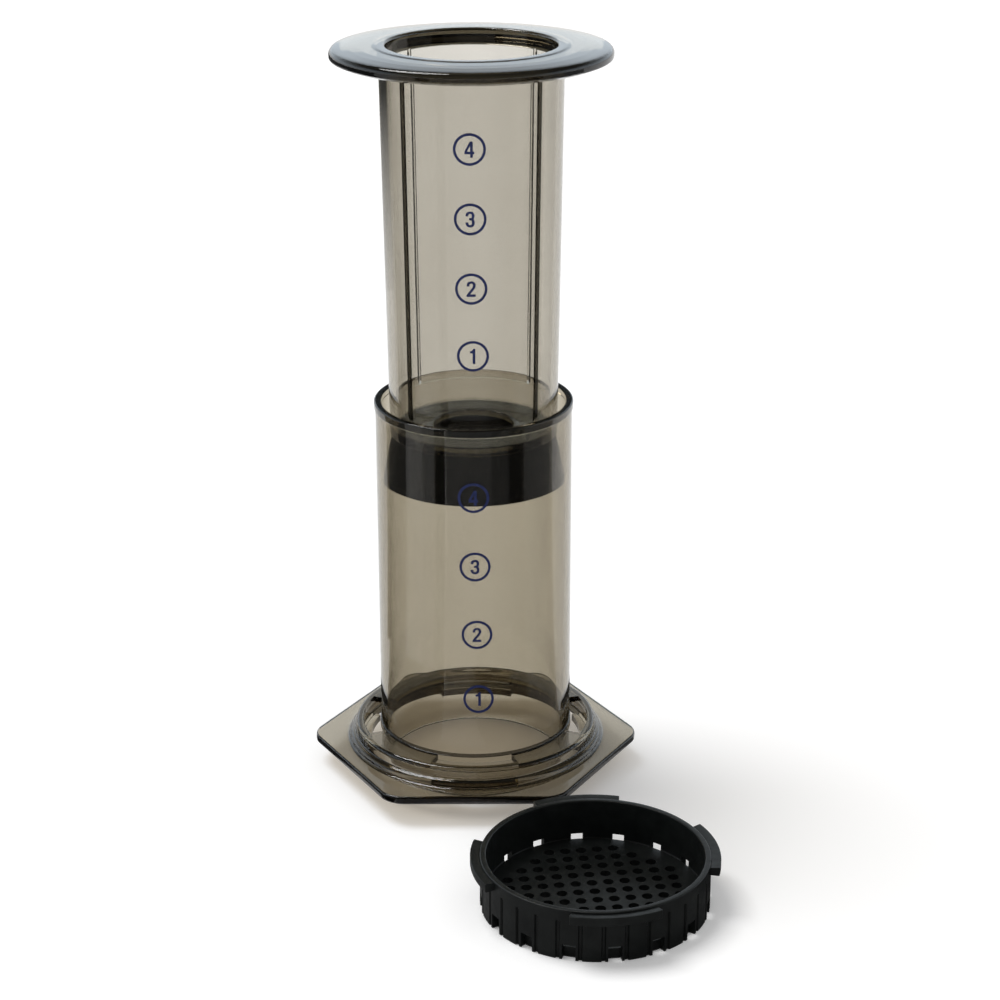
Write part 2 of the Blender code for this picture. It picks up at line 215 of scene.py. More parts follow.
def smokePlastic(name, kind):
    # bends light, swallows it by its thickness, and lets lamps through with a brown tint; ribs, edges and walls seen
    # end on get painted shade
    look = smokeLook[kind]
    material, tree, shader = startMaterial(name)
    haze = noiseAt(tree, smokeLook["haze"], 5.0)
    facing = addNode(tree, "ShaderNodeLayerWeight", {"Blend": 0.5}).outputs["Facing"]
    outside = mathOf(tree, "SUBTRACT", 1.0, addNode(tree, "ShaderNodeNewGeometry").outputs["Backfacing"])
    # painted shade: faces marked dark turn near-black where they are seen from outside
    clear = mixColours(tree, mathOf(tree, "MULTIPLY", outside, faceValue(tree, "dark")),
                       mixColours(tree, remap(tree, haze, 0, 1), *smokeLook["skin"]), smokeLook["paintedShade"])
    # painted shade: the wall's colour turns darker where it is seen end on
    edgeShadeShare = remap(tree, facing, 0, 1, *smokeLook["edgeFrom"])
    edgeShaded = addNode(tree, "ShaderNodeMix", {"Factor": edgeShadeShare, 6: clear, 7: (*smokeLook["edgeShade"], 1)},
                     data_type="RGBA", blend_type="MULTIPLY")
    tree.links.new(edgeShaded.outputs[2], shader.inputs["Base Color"])
    scratches = []
    for word, stretch in (("upright", (1, 1, 0.04)), ("level", (0.3, 0.3, 1.6))):
        scale, low, high = smokeLook[word]
        scratches.append(remap(tree, noiseAt(tree, scale, 2.0, stretch), 0, smokeLook["scratches"], low, high))
    rough = mathOf(tree, "ADD", remap(tree, haze, *smokeLook["gloss"]), mathOf(tree, "ADD", *scratches))
    tree.links.new(rough, shader.inputs["Roughness"])
    shader.inputs["IOR"].default_value = smokeLook["index"]
    shader.inputs["Transmission Weight"].default_value = 1.0
    addBump(tree, shader, noiseAt(tree, smokeLook["wave"], 2.0, (1, 1, 0.35)), *smokeLook["waveDepth"])
    film = addNode(tree, "ShaderNodeBsdfTransparent", {"Color": (*look["shadow"], 1)})
    path = addNode(tree, "ShaderNodeLightPath")
    thrown = mathOf(tree, "MAXIMUM", path.outputs["Is Shadow Ray"], path.outputs["Is Diffuse Ray"])
    straight = mathOf(tree, "MAXIMUM", thrown, faceValue(tree, "straight"))
    mix = addNode(tree, "ShaderNodeMixShader", {0: straight, 1: shader.outputs[0], 2: film.outputs[0]})
    output = tree.nodes["Material Output"]
    tree.links.new(mix.outputs[0], output.inputs["Surface"])
    inside = addNode(tree, "ShaderNodeVolumeAbsorption", {"Color": (*look["inside"], 1), "Density": look["depth"]})
    tree.links.new(inside.outputs[0], output.inputs["Volume"])
    return material


# sizes of the pieces are in mm, and what ends in Half is half a width in degrees
chamberSizes = {
    "steps": 360, "hexSteps": 14, "edgeSteps": 5,  # faces round the tube, a corner of the plate and its edge
    "height": 131.1, "tube": 32.25, "bore": 30.3,
    "rim": 32.6, "rimDepth": 2.4, "rimRound": 0.45, "mouthRound": 0.35, "foot": 0.5, "footLine": 1.2,
    "webTop": 16.4, "ceiling": 14.4, "slotIn": 32.65, "slotOut": 38.4, "slotHalf": 22,
    "collarTop": 40.6, "collarBase": 43.0, "collarRound": 0.9, "ringTop": 12.4, "ringIn": 41.3, "ringRound": 0.95,
    "plateLow": 7.4, "plateTop": 10.15, "plateRound": 0.75, "plateLand": 0.6, "plateFillet": 1.1,
    "plateIn": 46.0,  # where the spun part ends and the filled plate begins
    "hexFlat": 48.75, "hexCorner": 8.8,
    "hole": 38.8, "socket": 39.1, "lugIn": 35.85, "lugLow": 7.7, "lugTop": 10.1, "lugHalf": 21,
}


def chamberProfile():
    # from the plate's top, over collar, web, tube, bore and socket, to the plate's underside
    c = chamberSizes
    return [
        (c["plateIn"], c["plateTop"]), (c["collarBase"] + 0.3, c["plateTop"], c["plateFillet"]),
        (c["collarBase"] - 0.2, c["ringTop"] - 0.2, c["ringRound"]), (c["ringIn"], c["ringTop"] + 0.3, 0.5),
        (c["collarTop"], c["webTop"], c["collarRound"]), (c["slotOut"], c["webTop"]), (c["slotIn"], c["webTop"]),
        (c["tube"], c["webTop"], 0.3), (c["tube"], c["webTop"] + c["footLine"]),
        (c["tube"], c["height"] - c["rimDepth"] - 0.35),
        (c["rim"], c["height"] - c["rimDepth"], 0.15), (c["rim"], c["height"], c["rimRound"]),
        (c["bore"], c["height"], c["mouthRound"]), (c["bore"], 0, c["foot"]), (c["tube"], 0, c["foot"]),
        (c["tube"], c["ceiling"]), (c["slotIn"], c["ceiling"]), (c["slotOut"], c["ceiling"]),
        (c["socket"], c["ceiling"], 0.3), (c["socket"], c["plateTop"] + 0.1), (c["hole"], c["lugTop"]),
        (c["hole"], c["lugLow"]), (c["hole"], c["plateLow"], 0.2), (c["hole"] + 1.2, c["plateLow"]),
    ]


def slabFaces(bm):
    # only the hexagonal faces have so many corners
    return [face for face in bm.faces if len(face.verts) > 50]


def addHexPlate(bm):
    # a hexagonal slab with round corners and rims, opened in the middle and sewn to the collar and the socket
    c = chamberSizes
    turn = Matrix.Translation((0, 0, c["plateLow"] * mm)) @ Matrix.Rotation(pi / 6, 4, "Z")
    ring = bmesh.ops.create_circle(bm, cap_ends=True, radius=c["hexFlat"] / cos(pi / 6) * mm, segments=6, matrix=turn)
    bmesh.ops.bevel(bm, geom=ring["verts"], offset=c["hexCorner"] / 3 ** 0.5 * mm, segments=c["hexSteps"],
                    profile=0.5, affect="VERTICES", material=-1)
    low = max(slabFaces(bm), key=lambda face: face.calc_area())
    grown = bmesh.ops.extrude_face_region(bm, geom=[low], use_keep_orig=True)
    bmesh.ops.translate(bm, verts=newVerts(grown), vec=(0, 0, (c["plateTop"] - c["plateLow"]) * mm))
    rims = [edge for face in slabFaces(bm) for edge in face.edges]
    bmesh.ops.bevel(bm, geom=rims, offset=c["plateRound"] * mm, segments=c["edgeSteps"], profile=0.5,
                    affect="EDGES", material=-1)
    bmesh.ops.inset_region(bm, faces=slabFaces(bm), thickness=c["plateLand"] * mm, use_even_offset=True)
    bmesh.ops.delete(bm, geom=slabFaces(bm), context="FACES_ONLY")
    for level in (c["plateLow"], c["plateTop"]):
        rings = [edge for edge in openEdges(bm) if all(abs(v.co.z / mm - level) < 0.001 for v in edge.verts)]
        bmesh.ops.triangle_fill(bm, use_beauty=True, use_dissolve=False, edges=rings)


def cutSlots(bm):
    # four slots through the web let the cap's ears in
    c = chamberSizes
    for way in quarters:
        lids = [face for level in (c["webTop"], c["ceiling"])
                for face in facesIn(bm, level - levelSlack, level + levelSlack, c["slotIn"], c["slotOut"], [way],
                                    c["slotHalf"])]
        bmesh.ops.delete(bm, geom=lids, context="FACES")
        bmesh.ops.bridge_loops(bm, edges=openEdges(bm))


def growLugs(bm):
    # four lugs stand in from the wall of the hole and carry the cap's ears
    c = chamberSizes
    wall = facesIn(bm, c["lugLow"], c["lugTop"], c["hole"] - wallSlack, c["hole"] + wallSlack, quarters, c["lugHalf"])
    grown = bmesh.ops.extrude_face_region(bm, geom=wall)
    setReach(newVerts(grown), c["lugIn"])
    bmesh.ops.delete(bm, geom=wall, context="FACES")


def chamberShades(face):
    # dark: painted shade on the outside of the rim, the tube's meeting with the web, the tube below it and the plate's
    # edge
    # straight: the top of the rim
    c = chamberSizes
    middle = face.calc_center_median()
    height, reach = middle.z / mm, reachOf(middle)
    outward = face.normal.xy.dot(middle.xy.normalized())
    if height > c["height"] - c["rimDepth"] and outward > 0.1:
        return smokeLook["rimDark"], 0.0
    if height > c["height"] - c["mouthRound"] * 1.1:
        return 0.0, smokeLook["rimStraight"]
    if c["webTop"] < height < c["webTop"] + c["footLine"] and c["tube"] - wallSlack < reach < c["slotIn"]:
        return smokeLook["footDark"], 0.0
    if c["foot"] < height < c["ceiling"] and abs(reach - c["tube"]) < wallSlack:
        return smokeLook["skirtDark"], 0.0
    if height < c["plateTop"] and reach > c["plateIn"] and outward > 0.35:
        return smokeLook["plateDark"], 0.0
    return 0.0, 0.0


def makeChamber():
    bm = spinProfile(chamberProfile(), chamberSizes["steps"], smokeLook["hold"])
    bmesh.ops.rotate(bm, verts=bm.verts, cent=(0, 0, 0), matrix=Matrix.Rotation(radians(45), 3, "Z"))
    addHexPlate(bm)
    cutSlots(bm)
    growLugs(bm)
    material = smokePlastic("smokePlasticChamber", "chamber")
    finishPiece(bm, "chamberMoulding", pressAxis, "chamber", material, "chamber",
                shades=chamberShades)


makeChamber()
print("chamber ready")

plungerSizes = {
    "steps": 360,
    "rise": 142.2, "topRadius": 29.15, "endRadius": 27.45, "wall": 2.3,
    "flange": 44.4, "thick": 4.2, "fall": 1.1, "topRound": 1.5, "edge": 2.8, "slope": 3.4,
    "mouthRound": 0.9, "land": 3.3, "step": 0.25, "stepWide": 0.8, "stepRound": 0.5,
    "shoulder": 15.7, "round": 0.7,
    "ribHalf": 1.01, "ribHigh": 1.0, "ribStart": 9.4,
    "ribTop": 0.9, "ribGap": 0.04,  # what stays straight at a rib's top, and the room left under the flange
    "darkEdge": 2.1,  # how far in from its edge the hand flange gets painted shade
    "neck": 15.0, "well": 13.0, "wellFloor": 5.6, "spigotLow": 3.6,
    "barb": 16.7, "barbTop": 12.9, "barbLow": 11.3,
}


def plungerProfile():
    # from the floor of the well, up inside, over the hand flange, and down outside to the spigot
    s = plungerSizes
    k = s["round"]
    inTop, inEnd = s["topRadius"] - s["wall"], s["endRadius"] - s["wall"]
    floor = s["shoulder"] + s["wall"]
    edgeTop, edgeLow = s["rise"] - s["fall"], s["rise"] - s["fall"] - s["thick"]
    landEdge = inTop + s["land"]
    stepEdge = landEdge + s["stepWide"]
    corners = [(0, s["wellFloor"]), (s["well"], s["wellFloor"], k), (s["well"], floor, k), (inEnd, floor, k),
               (inTop, s["rise"], s["mouthRound"]), (landEdge, s["rise"], s["stepRound"]),
               (stepEdge, s["rise"] - s["step"], s["stepRound"])]
    for share in (0.3, 0.55, 0.8):  # the top of the flange falls away faster towards its edge
        corners.append((stepEdge + (s["flange"] - stepEdge) * share,
                        s["rise"] - s["step"] - (s["fall"] - s["step"]) * share ** 2))
    slope = (s["topRadius"] - s["endRadius"]) / (edgeLow - s["shoulder"])
    corners += [(s["flange"], edgeTop, s["topRound"]), (s["flange"], edgeTop - s["edge"], s["stepRound"]),
                (s["flange"] - s["slope"], edgeLow, 0.8), (s["topRadius"], edgeLow, k)]
    corners += [(s["endRadius"] + slope * lift, s["shoulder"] + lift)
                for lift in (s["ribStart"] + s["ribHigh"], s["ribStart"])]
    corners += [(s["endRadius"], s["shoulder"], k), (s["neck"], s["shoulder"]), (s["neck"], s["barbTop"]),
                (s["barb"], s["barbTop"]), (s["barb"], (s["barbTop"] + s["barbLow"]) / 2), (s["neck"], s["barbLow"]),
                (s["neck"], s["spigotLow"], k), (0, s["spigotLow"])]
    return corners


def growRibs(bm):
    # four straight ribs stand out from the tube, and start in a slope above the seal
    s = plungerSizes
    low, high = s["shoulder"] + s["ribStart"], s["rise"] - s["fall"] - s["thick"]
    skin = [face for face in facesIn(bm, low, high, s["endRadius"] - 0.2, s["topRadius"] + 0.6,
                                     [way + 45 for way in quarters], s["ribHalf"])
            if face.normal.xy.dot(face.calc_center_median().xy.normalized()) > 0.5]
    grown = bmesh.ops.extrude_face_region(bm, geom=skin)
    for v in newVerts(grown):
        reach, height = reachOf(v.co), v.co.z / mm
        if height > low + 0.05:
            setReach([v], (reach if height < high - s["ribTop"] else s["topRadius"]) + s["ribHigh"])
            v.co.z = min(height, high - s["ribGap"]) * mm
    bmesh.ops.delete(bm, geom=skin, context="FACES")
    bmesh.ops.remove_doubles(bm, verts=bm.verts, dist=mergeGap)


def plungerShades(face):
    # ribs and the edge of the hand flange get painted shade
    s = plungerSizes
    middle = face.calc_center_median()
    height, reach = middle.z / mm, reachOf(middle)
    edgeLow = s["rise"] - s["fall"] - s["thick"]
    skin = s["endRadius"] + (s["topRadius"] - s["endRadius"]) * (height - s["shoulder"]) / (edgeLow - s["shoulder"])
    if reach > s["flange"] - s["darkEdge"] and -0.3 < face.normal.z < 0.75:
        return smokeLook["flangeDark"], 0.0
    return smokeLook["ribDark"] * (s["shoulder"] + s["ribStart"] < height < edgeLow - 1 and reach > skin + 0.2), 0.0


def makePlunger():
    bm = spinProfile(plungerProfile(), plungerSizes["steps"], smokeLook["hold"])
    bmesh.ops.recalc_face_normals(bm, faces=bm.faces)
    growRibs(bm)
    place = pressAxis + Vector((0, 0, lipHeight))
    material = smokePlastic("smokePlasticPlunger", "plunger")
    finishPiece(bm, "plungerMoulding", place, "plunger", material, "plunger",
                shades=plungerShades)


makePlunger()
print("plunger ready")

rubberLook = {
    "black": ((0.0038, 0.0040, 0.0036), (0.0080, 0.0082, 0.0074)), "clouds": 260.0,
    "roughness": (0.40, 0.62), "patches": 140.0, "specular": 0.14,
    "grain": 2400.0, "grainDepth": (0.12, 0.0001),  # scale, then strength and distance
}


def blackRubber():
    material, tree, shader = startMaterial("blackRubber")
    tint = mixColours(tree, remap(tree, noiseAt(tree, rubberLook["clouds"], 6.0), 0, 1), *rubberLook["black"])
    tree.links.new(tint, shader.inputs["Base Color"])
    rough = remap(tree, noiseAt(tree, rubberLook["patches"], 5.0), *rubberLook["roughness"])
    tree.links.new(rough, shader.inputs["Roughness"])
    shader.inputs["Specular IOR Level"].default_value = rubberLook["specular"]
    addBump(tree, shader, noiseAt(tree, rubberLook["grain"], 3.0), *rubberLook["grainDepth"])
    return material


sealSizes = {
    "steps": 240,
    "top": 15.4, "plate": 2.2, "hole": 15.3, "topRadius": 26.6, "edge": 0.6,
    "shoulderRadius": 28.0, "shoulderHeight": 10.16, "flankRadius": 28.9, "flankHeight": 5.2,
    "waistRadius": 29.5, "waistHeight": 2.16,
    "lip": 30.0, "lipHeight": 0.9, "lipWidth": 1.0, "under": 1.0, "cavity": 3.3, "wall": 3.3,
}


def makeSeal():
    # a hollow cup snapped over the spigot, with a waist and a thin wiping lip
    s = sealSizes
    bm = spinProfile([
        (0, s["cavity"]), (s["shoulderRadius"] - s["wall"], s["cavity"], 0.6),
        (s["shoulderRadius"] - s["wall"], s["shoulderHeight"]), (s["topRadius"] - s["wall"], s["top"] - s["plate"]),
        (s["hole"], s["top"] - s["plate"]), (s["hole"], s["top"], 0.2), (s["topRadius"], s["top"], s["edge"]),
        (s["shoulderRadius"], s["shoulderHeight"], 1.2), (s["flankRadius"], s["flankHeight"]),
        (s["waistRadius"], s["waistHeight"], 0.6),
        (s["lip"], s["lipHeight"], 0.3), (s["lip"], 0, 0.15), (s["lip"] - s["lipWidth"], 0, 0.15),
        (s["lip"] - s["lipWidth"] - s["under"], s["under"], 0.3), (0, s["under"]),
    ], s["steps"])
    place = pressAxis + Vector((0, 0, lipHeight))
    finishPiece(bm, "rubberSeal", place, "plunger", blackRubber(), "seal", sharp=24.0)


makeSeal()
print("seal ready")

capLook = {
    "black": ((0.0042, 0.0050, 0.0049), (0.0085, 0.0100, 0.0096)), "clouds": 180.0,
    "roughness": (0.30, 0.46), "patches": 420.0, "specular": 0.26,
    "rubbed": (500.0, 0.12, 0.60, 0.78),  # upright rub marks: scale, what they add, and where they set in
    "grain": 3200.0, "grainDepth": (0.10, 0.0001),  # scale, then strength and distance
}


def blackPlastic():
    material, tree, shader = startMaterial("blackPlastic")
    tint = mixColours(tree, remap(tree, noiseAt(tree, capLook["clouds"], 6.0), 0, 1), *capLook["black"])
    tree.links.new(tint, shader.inputs["Base Color"])
    scale, added, low, high = capLook["rubbed"]
    rubbed = remap(tree, noiseAt(tree, scale, 2.0, (1, 1, 0.08)), 0, added, low, high)
    rough = remap(tree, noiseAt(tree, capLook["patches"], 5.0), *capLook["roughness"])
    tree.links.new(mathOf(tree, "ADD", rough, rubbed), shader.inputs["Roughness"])
    shader.inputs["Specular IOR Level"].default_value = capLook["specular"]
    addBump(tree, shader, noiseAt(tree, capLook["grain"], 3.0), *capLook["grainDepth"])
    return material


capSizes = {
    "steps": 640, "holeSteps": 24, "earSteps": 3,  # faces round the wall, a hole of the floor and an ear's edge
    "turn": 7.7,  # degrees that the cap is turned on the table
    "bore": 33.6, "wall": 35.5, "height": 16.8, "foot": 1.0, "floorTop": 3.4, "rimRound": 0.4,
    "ear": 38.5, "earLow": 13.8, "earTop": 16.65, "earDrop": 0.4, "earHalf": 21.4, "earEdge": 0.3,
    "windows": 16, "windowHalf": 3.4, "windowTop": 5.2,
    "grooves": 32, "grooveHalf": 0.6, "grooveDeep": 0.6, "grooveTop": 12.8,
    "pitch": 5.15, "hole": 1.7, "field": 28.4, "fieldEdge": 31.2,
    "seam": 0.002,  # points of wall and floor nearer than this become one
}


def capProfile():
    # from the floor's top, up inside, over the rim and down outside, to the floor's underside
    c = capSizes
    return [
        (c["fieldEdge"], c["floorTop"]), (c["bore"] - 0.2, c["floorTop"]), (c["bore"], c["floorTop"] + 0.25),
        (c["bore"], c["windowTop"]), (c["bore"], c["height"], c["rimRound"]), (c["wall"], c["height"], c["rimRound"]),
        (c["wall"], c["earTop"] - c["earDrop"]), (c["wall"], c["earLow"]), (c["wall"], c["grooveTop"] + 0.4),
        (c["wall"], c["grooveTop"]), (c["wall"], c["windowTop"]), (c["wall"], 0, 0.25), (c["bore"] - 0.2, 0),
        (c["bore"] - 0.4, 0), (c["bore"] - 0.4, c["foot"]), (c["fieldEdge"], c["foot"]),
    ]


def cutWindows(bm):
    # each window goes through the foot of the wall, from inside the cup to outside, and is open below
    c = capSizes
    for i in range(c["windows"]):
        way = 360 / c["windows"] * i
        panes = []
        for low, high, inner, outer in (
                (-wallSlack, c["windowTop"], c["wall"] - c["grooveDeep"], c["wall"] + wallSlack),
                (-levelSlack, levelSlack, c["bore"] - 0.2, c["wall"]),
                (c["floorTop"], c["windowTop"], c["bore"] - 0.2, c["bore"] + wallSlack)):
            panes += facesIn(bm, low, high, inner, outer, [way], c["windowHalf"])
        bmesh.ops.delete(bm, geom=list(dict.fromkeys(panes)), context="FACES")  # each face once, in a fixed order
        bmesh.ops.bridge_loops(bm, edges=[edge for edge in openEdges(bm)
                                          if reachOf(edge.verts[0].co) > c["fieldEdge"] + 0.5])


def pressGrooves(bm):
    # finger grooves down the outside, between the windows
    c = capSizes
    middles = [360 / c["grooves"] * (i + 0.5) for i in range(c["grooves"])]
    for v in bm.verts:
        if reachOf(v.co) < c["wall"] - 0.5 or v.co.z / mm > c["grooveTop"] + levelSlack:
            continue
        if min(abs(offHeading(headingOf(v.co), middle)) for middle in middles) < c["grooveHalf"]:
            setReach([v], reachOf(v.co) - c["grooveDeep"])


def growEars(bm):
    # four ears stand out from the rim and turn under the chamber's lugs
    c = capSizes
    skin = facesIn(bm, c["earLow"], c["earTop"] - c["earDrop"], c["wall"] - wallSlack, c["wall"] + wallSlack,
                   quarters, c["earHalf"])
    grown = bmesh.ops.extrude_face_region(bm, geom=skin)
    moved = newVerts(grown)
    setReach(moved, c["ear"])
    for v in moved:
        if v.co.z / mm > c["earLow"] + wallSlack:
            v.co.z = c["earTop"] * mm
    bmesh.ops.delete(bm, geom=skin, context="FACES")
    outer = set(moved)
    rims = [edge for edge in bm.edges if all(v in outer for v in edge.verts) and edge.calc_face_angle(0.0) > 0.8]
    bmesh.ops.bevel(bm, geom=rims, offset=c["earEdge"] * mm, segments=c["earSteps"], profile=0.5, affect="EDGES",
                    material=-1)


def addFloor(bm):
    # the floor is one sheet filled round its holes, then drawn down to its thickness
    c = capSizes
    sheet = bmesh.new()
    bmesh.ops.create_circle(sheet, radius=c["fieldEdge"] * mm, segments=c["steps"],
                            matrix=Matrix.Translation((0, 0, c["floorTop"] * mm)))
    span = int(c["field"] / c["pitch"])
    places = [(row * c["pitch"], column * c["pitch"]) for row in range(-span, span + 1)
              for column in range(-span, span + 1) if hypot(row, column) * c["pitch"] < c["field"]]
    for x, y in places:
        spot = Matrix.Translation(Vector((x, y, c["floorTop"])) * mm)
        bmesh.ops.create_circle(sheet, radius=c["hole"] * mm, segments=c["holeSteps"], matrix=spot)
    bmesh.ops.triangle_fill(sheet, use_beauty=True, use_dissolve=False, edges=sheet.edges[:])
    grown = bmesh.ops.extrude_face_region(sheet, geom=sheet.faces[:], use_keep_orig=True)
    bmesh.ops.translate(sheet, verts=newVerts(grown), vec=(0, 0, (c["foot"] - c["floorTop"]) * mm))
    side = [face for face in sheet.faces if reachOf(face.calc_center_median()) > c["fieldEdge"] - 0.05]
    bmesh.ops.delete(sheet, geom=side, context="FACES")
    print("floor holes:", len(places))
    mesh = bpy.data.meshes.new("sheet")
    sheet.to_mesh(mesh)
    sheet.free()
    bm.from_mesh(mesh)
    bpy.data.meshes.remove(mesh)
    bmesh.ops.remove_doubles(bm, verts=bm.verts, dist=c["seam"] * mm)


def makeCap():
    bm = spinProfile(capProfile(), capSizes["steps"])
    growEars(bm)
    pressGrooves(bm)
    cutWindows(bm)
    addFloor(bm)
    bmesh.ops.rotate(bm, verts=bm.verts, cent=(0, 0, 0), matrix=Matrix.Rotation(radians(capSizes["turn"]), 3, "Z"))
    finishPiece(bm, "filterCapMoulding", capAxis, "filter_cap", blackPlastic(), "filter_cap",
                sharp=28.0)


makeCap()
print("filter cap ready")

markSizes = {
    "ring": 4.62, "line": 0.84, "ringSteps": 72, "thick": 0.05, "lift": 0.005,
    "plunger": [(154.3, 0.2), (176.2, -0.2), (198.4, -0.4), (220.2, -0.5)],  # height and shift of 1, 2, 3 and 4
    "chamber": [(37.7, 1.4), (60.8, 1.0), (84.7, 0.5), (108.4, 0.1)],
    "cutStep": 0.9, "cutShift": 0.31, "cuts": 7,  # upright cuts on either side of the middle let the sheet bend
}

inkLook = {
    "navy": ((0.010, 0.017, 0.078), (0.017, 0.028, 0.120)), "clouds": 700.0,
    "roughness": (0.34, 0.52), "patches": 900.0, "specular": 0.3,
}

# outlines of bold narrow digits 5 mm tall: x, y and corner rounding in mm, the hole of the 4 last
digitOutlines = {
    "1": [[(0.75, -2.5), (0.75, 2.5), (0.1, 2.5), (-0.25, 1.85, 0.3), (-1.0, 1.6), (-1.0, 0.95), (-0.12, 0.95),
           (-0.12, -2.5)]],
    "2": [[(-1.4, 0.85), (-1.4, 2.5, 1.25), (1.4, 2.5, 1.25), (1.4, 0.55, 0.7), (-0.35, -1.7, 0.1), (1.4, -1.7),
           (1.4, -2.5), (-1.45, -2.5), (-1.45, -1.85, 0.4), (0.5, 0.65, 0.5), (0.5, 1.75, 0.45), (-0.52, 1.75, 0.45),
           (-0.52, 0.85)]],
    "3": [[(-1.4, 1.0), (-1.4, 2.5, 1.25), (1.35, 2.5, 1.2), (1.35, 0.35, 0.5), (0.95, 0.1, 0.15), (1.4, -0.2, 0.5),
           (1.4, -2.5, 1.25), (-1.4, -2.5, 1.25), (-1.4, -0.95), (-0.52, -0.95), (-0.52, -1.75, 0.45),
           (0.5, -1.75, 0.45), (0.5, -0.28, 0.4), (-0.35, -0.28), (-0.35, 0.45), (0.46, 0.45, 0.35),
           (0.46, 1.75, 0.45), (-0.52, 1.75, 0.45), (-0.52, 1.0)]],
    "4": [[(0.2, -2.5), (1.05, -2.5), (1.05, -1.45), (1.5, -1.45), (1.5, -0.65), (1.05, -0.65), (1.05, 2.5),
           (0.15, 2.5), (-1.5, -0.6), (-1.5, -1.45), (0.2, -1.45)],
          [(0.2, -0.65), (0.2, 1.15), (-0.72, -0.65)]],
}


def printInk():
    material, tree, shader = startMaterial("navyInk")
    tint = mixColours(tree, remap(tree, noiseAt(tree, inkLook["clouds"], 4.0), 0, 1), *inkLook["navy"])
    tree.links.new(tint, shader.inputs["Base Color"])
    rough = remap(tree, noiseAt(tree, inkLook["patches"], 3.0), *inkLook["roughness"])
    tree.links.new(rough, shader.inputs["Roughness"])
    shader.inputs["Specular IOR Level"].default_value = inkLook["specular"]
    return material


def addDigit(bm, text, x, y):
    flat = bmesh.new()
    for outline in digitOutlines[text]:
        points = [flat.verts.new((corner[0] + x, corner[1] + y, 0)) for corner in outline]
        for first, second in zip(points, points[1:] + points[:1]):
            flat.edges.new((first, second))
        for point, corner in zip(points, outline):
            if len(corner) > 2:
                bmesh.ops.bevel(flat, geom=[point], offset=corner[2], segments=cornerSteps, profile=0.5,
                                affect="VERTICES", material=-1)
    bmesh.ops.triangle_fill(flat, use_beauty=True, use_dissolve=False, edges=flat.edges[:])
    mesh = bpy.data.meshes.new("digit")
    flat.to_mesh(mesh)
    flat.free()
    bm.from_mesh(mesh)
    bpy.data.meshes.remove(mesh)


def addRing(bm, x, y):
    m = markSizes
    ends = [bm.verts.new((x + m["ring"] + side * m["line"] / 2, y, 0)) for side in (-1, 1)]
    edge = bm.edges.new(ends)
    bmesh.ops.spin(bm, geom=ends + [edge], cent=(x, y, 0), axis=(0, 0, 1), angle=2 * pi, steps=m["ringSteps"],
                   use_merge=True, use_duplicate=False)


def makeMarks(name, body, places, radiusAt, ink):
    # flat numbers and rings, bent round the tube as a film of ink
    m = markSizes
    bm = bmesh.new()
    for i, (height, shift) in enumerate(places):
        addDigit(bm, str(i + 1), shift, height)
        addRing(bm, shift, height)
    bmesh.ops.remove_doubles(bm, verts=bm.verts, dist=1e-5)
    for cut in range(-m["cuts"], m["cuts"] + 1):
        bmesh.ops.bisect_plane(bm, geom=bm.verts[:] + bm.edges[:] + bm.faces[:],
                               plane_co=(cut * m["cutStep"] + m["cutShift"], 0, 0), plane_no=(1, 0, 0))
    bmesh.ops.dissolve_degenerate(bm, dist=1e-4, edges=bm.edges)
    for face in bm.faces:
        if face.normal.z < 0:
            face.normal_flip()
    grown = bmesh.ops.extrude_face_region(bm, geom=bm.faces[:], use_keep_orig=True)
    bmesh.ops.translate(bm, verts=newVerts(grown), vec=(0, 0, m["thick"]))
    for v in bm.verts:
        base = radiusAt(v.co.y) + m["lift"]
        angle = v.co.x / base - pi / 2
        reach = base + v.co.z
        v.co = Vector((reach * cos(angle), reach * sin(angle), v.co.y)) * mm
    finishPiece(bm, name, pressAxis, body, ink)


def plungerRadius(height):
    s = plungerSizes
    edgeLow = s["rise"] - s["fall"] - s["thick"]
    share = (height - lipHeight / mm - s["shoulder"]) / (edgeLow - s["shoulder"])
    return s["endRadius"] + (s["topRadius"] - s["endRadius"]) * share


inkMaterial = printInk()
makeMarks("plungerMarks", "plunger", markSizes["plunger"], plungerRadius, inkMaterial)
makeMarks("chamberMarks", "chamber", markSizes["chamber"], lambda height: chamberSizes["tube"], inkMaterial)
print("marks ready")

stageLook = {
    "room": 0.55,  # strength of the room's light on matt things
    "lowSky": (1.24, 1.38, 1.50),  # what glossy and clear things see above the horizon, behind the set
    "highSky": (0.15, 0.145, 0.125),  # and overhead
    "skyFall": (0.25, 0.62),  # how high a direction points while the low sky turns into the high one
    "skyFrom": (0.02, 0.14),  # and before the white backdrop ends
    "darkRoom": (0.05, 0.043, 0.034),  # what they see behind the camera
    "darkFrom": (0.15, 0.75),  # how far forward a direction points before the room turns dark
    "sun": 1.75, "sunSoft": 30.0, "sunFrom": (-0.42, 0.22, 1.0),
    "floorColour": 0.93, "floorGlow": 0.14, "floorRough": 0.9, "floorSize": 30.0,
    "cardLift": 0.0004, "cardSteps": 12,  # height of the floor cards in m, and faces along a card
    "floorCards": [  # first and last heading from the front, near and far reach in m, grey
        (-118, -82, 0.13, 4.0, 0.06), (-82, -59, 0.13, 4.0, 0.62), (-59, -44, 0.13, 4.0, 0.40),
        (-44, -32, 0.062, 4.0, 0.01), (-31, 20, 0.062, 4.0, 0.27), (20, 40, 0.062, 4.0, 0.15),
        (40, 58, 0.062, 4.0, 0.02), (58, 100, 0.062, 4.0, 0.25), (-112, -44, 0.058, 0.13, 0.04),
        (-167, -118, 1.12, 4.0, 0.04),
    ],
    "fadeCard": (-167, -118, 0.58, 1.12, 0.96, 0.04),  # the same, but its grey runs from near to far
    "lowCards": [(-155, -100, 0.03), (100, 155, 0.05)],  # headings and grey of two strips that stand by the plate
    "lowCardReach": 0.062, "lowCardHeights": (0.001, 0.008),
}


